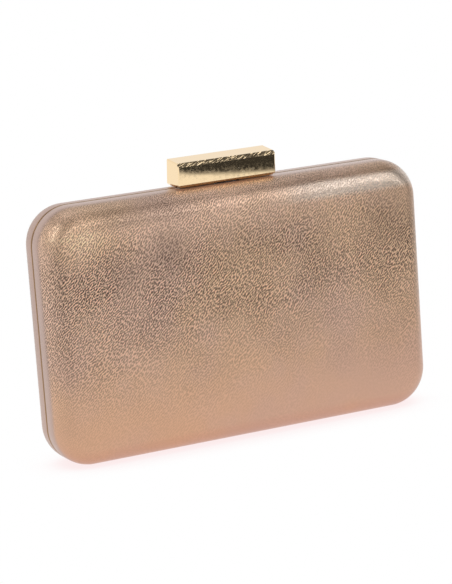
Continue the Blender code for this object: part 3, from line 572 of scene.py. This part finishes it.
# Each half is lined with satin, pulled over a thin board tray and tucked in behind the frame. The cloth
# puckers a little where it is drawn round the corners.
LINING_OUT, LINING_IN, LINING_START = 0.0029, 0.0036, 0.0068
CORNER_FROM, CORNER_OVER = np.array((0.070, 0.030)), np.array((0.022, 0.024))
PUCKER_HEIGHT, SLACK_HEIGHT, BOARD_GAP = 0.0009, 0.00035, 0.0003
THREAD_DARK, THREAD_PALE = (0.48, 0.35, 0.25, 1), (0.56, 0.42, 0.305, 1)
SLUB_COLOUR = (0.57, 0.435, 0.315, 1)


def lining_mesh(name, side):
    """The tray's outer dome and the satin's inner dome. The satin is lifted off the board by puckers: waves
    along the outline, strongest at the corners and a quarter of the way up, that fade out towards the middle.
    Over the face it lies slack, in shallow waves of a sine across times a sine up."""
    edge, face = dome(LINING_OUT, LINING_START, 8, 8)
    satin_edge, satin_face = dome(LINING_IN, LINING_START, 16, 30)
    satin = np.concatenate((satin_edge, satin_face))
    flat = satin[..., (0, 2)]
    across, up = flat[..., 0], flat[..., 1]
    corner = np.clip((np.abs(flat) - CORNER_FROM) / CORNER_OVER, 0, 1).prod(-1)
    climb = np.linspace(0, 1, len(satin))[:, None]
    along = np.linspace(0, 2 * math.pi, satin.shape[1], endpoint=False)
    wave = 0.6 * np.sin(61 * along + 1.3 * np.sin(5 * along)) + 0.4 * np.sin(37 * along + 2.0)
    fade = np.clip(climb / 0.18, 0, 1) * np.exp(-((climb - 0.25) / 0.22) ** 2)
    pucker = corner * fade * (0.5 + 0.5 * wave) * PUCKER_HEIGHT
    slack = SLACK_HEIGHT * np.sin(across * 95 + 1.1 * np.sin(up * 60)) * np.sin(up * 80 + 0.6)
    satin[..., 1] -= pucker + (slack + BOARD_GAP) * np.clip((climb - 0.3) / 0.3, 0, 1)
    rings = np.concatenate((face[::-1], edge[::-1], satin))
    middle = FLANK_DEPTH + EDGE_DEPTH + CROWN
    tips = np.array(((0, middle - LINING_OUT, 0), (0, satin[-1, :, 1].mean(), 0)))
    return skin_mesh(name, stood(rings, side), stood(tips, side))


def thread_bands(tree, place, scale, waver, way):
    """The threads of one direction: soft light and dark bands that waver a little."""
    inputs = {"Vector": place, "Scale": scale, "Distortion": waver, "Detail": 1.0}
    return add(tree, "ShaderNodeTexWave", inputs, bands_direction=way).outputs["Fac"]


satin_look, tree, coat, spot = new_look("champagne_satin")
warp = result_of(tree, "MULTIPLY", thread_bands(tree, spot, 700.0, 0.4, "X"), 0.7)
weft = result_of(tree, "MULTIPLY", thread_bands(tree, spot, 520.0, 0.6, "Z"), 0.3)
threads = result_of(tree, "ADD", warp, weft)
slub = streaks(tree, spot, (1500.0, 90.0, 90.0), 2.0)
cloth = blend_of(tree, threads, THREAD_DARK, THREAD_PALE)
relief = result_of(tree, "ADD", threads, result_of(tree, "MULTIPLY", slub, 0.6))
feed(tree, coat, {
    "Base Color": blend_of(tree, eased_share(tree, slub, 0.4, 0.7), cloth, SLUB_COLOUR),
    "Roughness": 0.42,
    "Sheen Weight": 0.4,
    "Sheen Roughness": 0.35,
    "Normal": bump_of(tree, relief, 0.25, 0.00006),
})

for name, side, body, node in (
    ("front_satin", FRONT, "front_half", "front_lining"),
    ("back_satin", BACK, "back_half", "back_lining"),
):
    piece = new_piece(name, lining_mesh(name, side), satin_look)
    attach(piece, body)
    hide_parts(node)


# The piano hinge runs along the bottom in a groove under the seam: two rolled brass leaves whose knuckles
# take turns along one steel pin. Each leaf is held between cover and frame by five domed rivets.
HINGE_HALF, HINGE_Z, BARREL_RADIUS, BORE_RADIUS = 0.078, 0.0017, 0.0015, 0.00075
LEAF_NEAR, LEAF_FAR, LEAF_LOW, LEAF_HIGH = 0.0022, 0.0060, 0.0029, 0.0035
LEAF_CORNER, LEAF_POINTS = 0.00015, 24
KNUCKLES, KNUCKLE_GAP, KNUCKLE_POINTS, END_EASE = 9, 0.0004, 40, 0.00012
TAB_LAP, TAB_SHARES = 0.0003, (0, 0.33, 0.66, 1, 1, 0.8, 0.6)
BRASS_BRIGHT, BRASS_DULL = (0.86, 0.64, 0.33, 1), (0.70, 0.49, 0.23, 1)

hinge_gilt, tree, coat, spot = new_look("rolled_brass")
draw_lines = streaks(tree, spot, (45.0, 1800.0, 1800.0), 2.0)
dulled = noise(tree, spot, 130.0, 4.0)
feed(tree, coat, {
    "Base Color": blend_of(tree, dulled, BRASS_BRIGHT, BRASS_DULL),
    "Metallic": 1.0,
    "Roughness": eased_share(tree, dulled, 0.3, 0.7, 0.2, 0.36),
    "Normal": bump_of(tree, draw_lines, 0.25, 0.00005),
})


def drawn_out(section, stations):
    """A closed section, points of depth and height, carried to each x of the stations: stations x points
    x 3. A station is an x and how much the section is drawn in towards its own middle there."""
    middle = section.mean(0)
    reach = section - middle
    length = np.linalg.norm(reach, axis=1, keepdims=True)
    rows = []
    for x, draw_in in stations:
        moved = middle + reach * (1 - draw_in / np.maximum(length, 1e-6))
        rows.append(np.column_stack((np.full(len(section), x), moved)))
    return np.stack(rows)


def eased_stations(start, end):
    """The stations of a length from start to end whose two ends are eased by a small bevel."""
    return (start, END_EASE), (start + END_EASE, 0), (end - END_EASE, 0), (end, END_EASE)


def knuckle_rings(start, end, side):
    """One knuckle from start to end: the outer section is the barrel's circle with its tab, the inner one
    is the bore's circle, and the loop of rings goes along the outside, over the end, back through the bore
    and round."""
    first = math.asin((LEAF_LOW - HINGE_Z) / BARREL_RADIUS)
    turn = first - (first + 1.5 * math.pi) * np.linspace(0, 1, KNUCKLE_POINTS - len(TAB_SHARES))
    barrel = np.stack((side * BARREL_RADIUS * np.cos(turn), HINGE_Z + BARREL_RADIUS * np.sin(turn)), 1)
    tab_y = side * np.array(TAB_SHARES) * (LEAF_NEAR + TAB_LAP)
    tab_z = np.array((LEAF_HIGH,) * 4 + (LEAF_LOW,) * 3)
    outer = np.concatenate((np.stack((tab_y, tab_z), 1), barrel))
    bend = np.linspace(0.5 * math.pi, -1.5 * math.pi, KNUCKLE_POINTS, endpoint=False)
    inner = np.stack((side * BORE_RADIUS * np.cos(bend), HINGE_Z + BORE_RADIUS * np.sin(bend)), 1)
    outside = drawn_out(outer, eased_stations(start, end))
    return np.concatenate((outside, drawn_out(inner, ((end, 0), (start, 0)))))


def gathered(name, meshes):
    """Several meshes laid together in one, as they are."""
    bm = bmesh.new()
    for mesh in meshes:
        bm.from_mesh(mesh)
    whole = bpy.data.meshes.new(name)
    bm.to_mesh(whole)
    bm.free()
    smooth(whole)
    return whole


def leaf_mesh(name, side):
    """The leaf's flat strip and its knuckles, every other one along the pin, as closed shells in one mesh.
    The strip's section is an oblong whose corners are quarter circles."""
    turn = np.linspace(0, 2 * math.pi, LEAF_POINTS, endpoint=False)
    half_y, half_z = (LEAF_FAR - LEAF_NEAR) / 2, (LEAF_HIGH - LEAF_LOW) / 2
    y = np.sign(np.cos(turn)) * (half_y - LEAF_CORNER) + LEAF_CORNER * np.cos(turn)
    z = np.sign(np.sin(turn)) * (half_z - LEAF_CORNER) + LEAF_CORNER * np.sin(turn)
    section = np.stack((side * (LEAF_NEAR + half_y) + y, (LEAF_LOW + LEAF_HIGH) / 2 + z), 1)
    strip = drawn_out(section, eased_stations(-HINGE_HALF, HINGE_HALF))
    middle = section.mean(0)
    meshes = [skin_mesh("strip", strip, ((-HINGE_HALF, *middle), (HINGE_HALF, *middle)))]
    pitch = 2 * HINGE_HALF / KNUCKLES
    for i in range(0 if side == BACK else 1, KNUCKLES, 2):
        start = -HINGE_HALF + i * pitch + KNUCKLE_GAP / 2
        meshes.append(skin_mesh("knuckle", knuckle_rings(start, start + pitch - KNUCKLE_GAP, side)))
    return gathered(name, meshes)


for name, side, body, node in (
    ("front_leaf", FRONT, "front_half", "front_hinge_leaf"),
    ("back_leaf", BACK, "back_half", "back_hinge_leaf"),
):
    piece = new_piece(name, leaf_mesh(name, side), hinge_gilt)
    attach(piece, body)
    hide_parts(node)


# Five rivets hold each leaf. A rivet is a straight shank with a domed head, which sits inside the case, and
# the same form serves for every other rivet and screw.
SHANK_RADIUS, HEAD_RADIUS, HEAD_POINTS, TURNED_POINTS = 0.0007, 0.0013, 9, 32
HINGE_RIVETS, HINGE_RIVET_SPAN, HINGE_RIVET_Y = 5, 0.066, 0.0041
HINGE_RIVET_FOOT, HINGE_RIVET_SEAT, HINGE_RIVET_TOP = 0.00125, 0.0049, 0.0055
ALONG_X, ALONG_Z = 0, 2


def turned(name, profile, place, along):
    """A turned piece: a profile of radii and distances spun round an axis along x or z through a place. The
    profile starts and ends on the axis."""
    profile = np.asarray(profile, float)
    turn = np.linspace(0, 2 * math.pi, TURNED_POINTS, endpoint=False)
    radius, run = profile[1:-1, 0:1], profile[1:-1, 1:2]
    first, second = radius * np.cos(turn), radius * np.sin(turn)
    run = np.broadcast_to(run, first.shape)
    rings = np.stack((first, second, run) if along == ALONG_Z else (run, first, second), -1)
    tips = np.zeros((2, 3))
    tips[:, along] = profile[(0, -1), 1]
    return skin_mesh(name, rings + np.array(place), tips + np.array(place))


def dome_profile(foot, seat, top):
    """A rivet's profile: a straight shank from its foot up to the head's seat, a short upright rim, then a
    dome that is a quarter ellipse from the rim to the top. Distances may run either way along the axis."""
    turn = np.linspace(0, math.pi / 2, HEAD_POINTS)
    cap = np.stack((HEAD_RADIUS * np.cos(turn), seat + (top - seat) * (0.25 + 0.75 * np.sin(turn))), 1)
    shank = np.array([(0, foot), (SHANK_RADIUS, foot), (SHANK_RADIUS, seat), (HEAD_RADIUS, seat)])
    return np.concatenate((shank, cap[:-1], np.array([(0, top)])))


for side, body, name in ((FRONT, "front_half", "front"), (BACK, "back_half", "back")):
    profile = dome_profile(HINGE_RIVET_FOOT, HINGE_RIVET_SEAT, HINGE_RIVET_TOP)
    for number, x in enumerate(np.linspace(-HINGE_RIVET_SPAN, HINGE_RIVET_SPAN, HINGE_RIVETS), start=1):
        piece_name = f"{name}_rivet_{number}"
        mesh = turned(piece_name, profile, (x, side * HINGE_RIVET_Y, 0), ALONG_Z)
        piece = new_piece(piece_name, mesh, hinge_gilt)
        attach(piece, body)
        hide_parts(f"{name}_hinge_rivet_{number}")


# The pins, the spring, the blade, its screws and the strike plate are of bright steel. The pins are drawn
# wire whose ends are eased by a small bevel, and the hinge pin fills the whole run of knuckles.
HINGE_WIRE_RADIUS, PIN_EASE = 0.0006, 0.00015
STEEL_BRIGHT, STEEL_STAINED = (0.60, 0.60, 0.61, 1), (0.47, 0.46, 0.46, 1)

steel, tree, coat, spot = new_look("bright_steel")
drawing = streaks(tree, spot, (90.0, 2200.0, 2200.0), 2.0)
stain = noise(tree, spot, 160.0, 4.0)
feed(tree, coat, {
    "Base Color": blend_of(tree, stain, STEEL_BRIGHT, STEEL_STAINED),
    "Metallic": 1.0,
    "Roughness": eased_share(tree, stain, 0.3, 0.7, 0.2, 0.34),
    "Normal": bump_of(tree, drawing, 0.2, 0.00004),
})


def pin_profile(start, end, radius):
    """A straight rod whose two end edges are eased by a small bevel."""
    neck = radius - PIN_EASE
    first_end = ((0, start), (neck, start), (radius, start + PIN_EASE))
    return first_end + ((radius, end - PIN_EASE), (neck, end), (0, end))


profile = pin_profile(-HINGE_HALF, HINGE_HALF, HINGE_WIRE_RADIUS)
hinge_wire = new_piece("hinge_wire", turned("hinge_wire", profile, (0, 0, HINGE_Z), ALONG_X), steel)
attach(hinge_wire, "back_half")
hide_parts("hinge_pin")


# On the back half's top edge sits a small brass plate with two upright lugs, held by two domed rivets. The
# clasp pin passes through the lugs, and the spring is wound round it between them.
PIN_Y, PIN_Z = 0.0044, 0.1267
CLASP_WIRE_LEFT, CLASP_WIRE_RIGHT, CLASP_WIRE_RADIUS = -0.017, 0.02515, 0.0005
PLATE_RIVET_X, PLATE_RIVET_Y = 0.016, 0.00185
PLATE_RIVET_FOOT, PLATE_RIVET_SEAT, PLATE_RIVET_TOP = 0.1191, 0.1253, 0.1259
PLATE_EASE, EASED_FROM, EASE_STEPS = 0.00012, 30, 3
COIL_TURNS, COIL_PITCH, COIL_RADIUS, COIL_WIRE, COIL_LEG = 8, 0.0009, 0.00105, 0.00025, 0.0016
TURN_STEPS, LEG_STEPS, WIRE_POINTS = 28, 5, 10


def eased(name, node, width, look):
    """A finer copy of a CAD node: its loose triangles are welded, its flats made whole, and every edge
    sharper than 30 degrees is rounded by a width."""
    bm = bmesh.new()
    bm.from_mesh(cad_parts[node].data)
    bmesh.ops.remove_doubles(bm, verts=bm.verts, dist=2e-6)
    bmesh.ops.dissolve_limit(bm, angle_limit=math.radians(0.6), verts=bm.verts, edges=bm.edges)
    mesh = bpy.data.meshes.new(name)
    bm.to_mesh(mesh)
    bm.free()
    if "custom_normal" in mesh.attributes:
        mesh.attributes.remove(mesh.attributes["custom_normal"])
    mesh.materials.clear()
    smooth(mesh, EASED_FROM)
    piece = new_piece(name, mesh, look)
    rounding = piece.modifiers.new("rounding", "BEVEL")
    rounding.width, rounding.segments, rounding.limit_method = width, EASE_STEPS, "ANGLE"
    rounding.angle_limit = math.radians(EASED_FROM)
    rounding.harden_normals = True
    return piece


plate = eased("lug_plate", "clasp_plate", PLATE_EASE, hinge_gilt)
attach(plate, "back_half")
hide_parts("clasp_plate")
profile = dome_profile(PLATE_RIVET_FOOT, PLATE_RIVET_SEAT, PLATE_RIVET_TOP)
for number, x in ((1, -PLATE_RIVET_X), (2, PLATE_RIVET_X)):
    piece_name = f"plate_rivet_{number}"
    piece = new_piece(piece_name, turned(piece_name, profile, (x, PLATE_RIVET_Y, 0), ALONG_Z), hinge_gilt)
    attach(piece, "back_half")
    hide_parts(f"clasp_plate_rivet_{number}")

profile = pin_profile(CLASP_WIRE_LEFT, CLASP_WIRE_RIGHT, CLASP_WIRE_RADIUS)
clasp_wire = new_piece("clasp_wire", turned("clasp_wire", profile, (0, PIN_Y, PIN_Z), ALONG_X), steel)
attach(clasp_wire, "back_half")
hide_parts("clasp_pin")


def spring_mesh(name):
    """The spring's wire: a helix round the pin with a straight leg up at each end. Each point of its path
    carries a circle of the wire's radius, set square to the path by two directions worked out from it."""
    turn = np.linspace(0, 2 * math.pi * COIL_TURNS, COIL_TURNS * TURN_STEPS + 1)
    run = COIL_PITCH * (turn / (2 * math.pi) - COIL_TURNS / 2)
    coil = np.stack((run, -COIL_RADIUS * np.cos(turn), COIL_RADIUS * np.sin(turn)), 1)
    step = np.linspace(COIL_LEG, 0, LEG_STEPS + 1)[:-1, None] * np.array((0, 0, 1))
    path = np.concatenate((coil[0] + step, coil, coil[-1] + step[::-1]))
    heading = np.gradient(path, axis=0)
    heading /= np.linalg.norm(heading, axis=1, keepdims=True)
    side = np.cross(heading, np.array((1.0, 0.0, 0.0)))
    side /= np.linalg.norm(side, axis=1, keepdims=True)
    other = np.cross(heading, side)
    angle = np.linspace(0, 2 * math.pi, WIRE_POINTS, endpoint=False)[None, :, None]
    rings = path[:, None] + COIL_WIRE * (np.cos(angle) * side[:, None] + np.sin(angle) * other[:, None])
    place = np.array((0, PIN_Y, PIN_Z))
    return skin_mesh(name, rings + place, path[[0, -1]] + place)


spring = new_piece("wound_spring", spring_mesh("wound_spring"), steel)
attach(spring, "back_half")
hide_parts("clasp_spring")


# The clasp is one cast bar with bevelled edges, hollow underneath, polished and plated with pale gold. Its
# polish is a little wavy, most of all on its upper bevel, and handling has left fine scratches on it.
BAR_EASE, BEVEL_WAY = 0.00018, (0, -0.72, 0.69)
SCRATCH_LEAN, SCRATCH_SCALES = 35, (260.0, 60.0, 3200.0)
RIPPLE_LEAN, RIPPLE_LENGTHS = -20, (0.0055, 0.0055, 0.0006)
GOLD, SCRATCH_COLOUR = (0.95, 0.73, 0.45, 1), (0.95, 0.81, 0.60, 1)


def leaning(tree, place, degrees, scales, kind):
    """Places turned about the axis from front to back and stretched, for a pattern that leans."""
    inputs = {"Vector": place, "Rotation": (0, math.radians(degrees), 0), "Scale": scales}
    return add(tree, "ShaderNodeMapping", inputs, vector_type=kind).outputs[0]


polish, tree, coat, spot = new_look("pale_gold_plate")
wave = noise(tree, spot, 30.0, 1.0)
orange_peel = noise(tree, spot, 700.0, 2.0)
scratch = noise(tree, leaning(tree, spot, SCRATCH_LEAN, SCRATCH_SCALES, "POINT"), 1.0, 1.0)
scratch = eased_share(tree, scratch, 0.74, 0.80)
facing = {0: add(tree, "ShaderNodeTexCoord").outputs["Normal"], 1: BEVEL_WAY}
facing = add(tree, "ShaderNodeVectorMath", facing, operation="DOT_PRODUCT").outputs["Value"]
ripple = noise(tree, leaning(tree, spot, RIPPLE_LEAN, RIPPLE_LENGTHS, "TEXTURE"), 1.0, 1.0)
ripple = result_of(tree, "MULTIPLY", ripple, 1.9)
ripple = result_of(tree, "MULTIPLY", eased_share(tree, facing, 0.90, 0.96), ripple)
relief = result_of(tree, "ADD", wave, result_of(tree, "MULTIPLY", orange_peel, 0.003))
relief = result_of(tree, "SUBTRACT", relief, result_of(tree, "MULTIPLY", scratch, 0.004))
relief = result_of(tree, "ADD", relief, ripple)
feed(tree, coat, {
    "Base Color": blend_of(tree, scratch, GOLD, SCRATCH_COLOUR),
    "Metallic": 1.0,
    "Roughness": eased_share(tree, orange_peel, 0.35, 0.75, 0.025, 0.06),
    "Normal": bump_of(tree, relief, 1.0, 0.00012),
})

bar = eased("gold_bar", "clasp_bar", BAR_EASE, polish)
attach(bar, "clasp")
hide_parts("clasp_bar")


# Inside the bar a thin steel blade hangs from two pan-head screws. It reaches through the notch in the front
# half's edge and ends just above the rail of the strike plate, which two rivets fix under the frame.
SHEET_EASE, HEAD_HEIGHT = 0.0001, 0.0006
SLOT_REACH, SLOT_HALF_WIDTH, SLOT_DEPTH, SLOT_CLEAR = 0.002, 0.00014, 0.00025, 0.001


def hanging_mesh(name, low, high):
    """A pin with its domed head down that fills a box: its head at the box's foot, its shank to the top."""
    place = ((low.x + high.x) / 2, (low.y + high.y) / 2, 0)
    return turned(name, dome_profile(high.z, low.z + HEAD_HEIGHT, low.z), place, ALONG_Z)


blade = eased("latch_blade", "clasp_blade", SHEET_EASE, steel)
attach(blade, "clasp")
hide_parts("clasp_blade")
for number in (1, 2):
    low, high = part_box(f"clasp_screw_{number}")
    x, y = (low.x + high.x) / 2, (low.y + high.y) / 2
    piece_name = f"pan_screw_{number}"
    piece = new_piece(piece_name, hanging_mesh(piece_name, low, high), steel)
    slot_low = (x - SLOT_REACH, y - SLOT_HALF_WIDTH, low.z - SLOT_CLEAR)
    slot_high = (x + SLOT_REACH, y + SLOT_HALF_WIDTH, low.z + SLOT_DEPTH)
    carve(piece, ((slot_low, slot_high),))
    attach(piece, "clasp")
    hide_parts(f"clasp_screw_{number}")

strike = eased("strike_catch", "strike_plate", SHEET_EASE, steel)
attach(strike, "front_half")
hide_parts("strike_plate")
for number in (1, 2):
    low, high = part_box(f"strike_rivet_{number}")
    piece_name = f"catch_rivet_{number}"
    piece = new_piece(piece_name, hanging_mesh(piece_name, low, high), hinge_gilt)
    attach(piece, "front_half")
    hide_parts(f"strike_rivet_{number}")
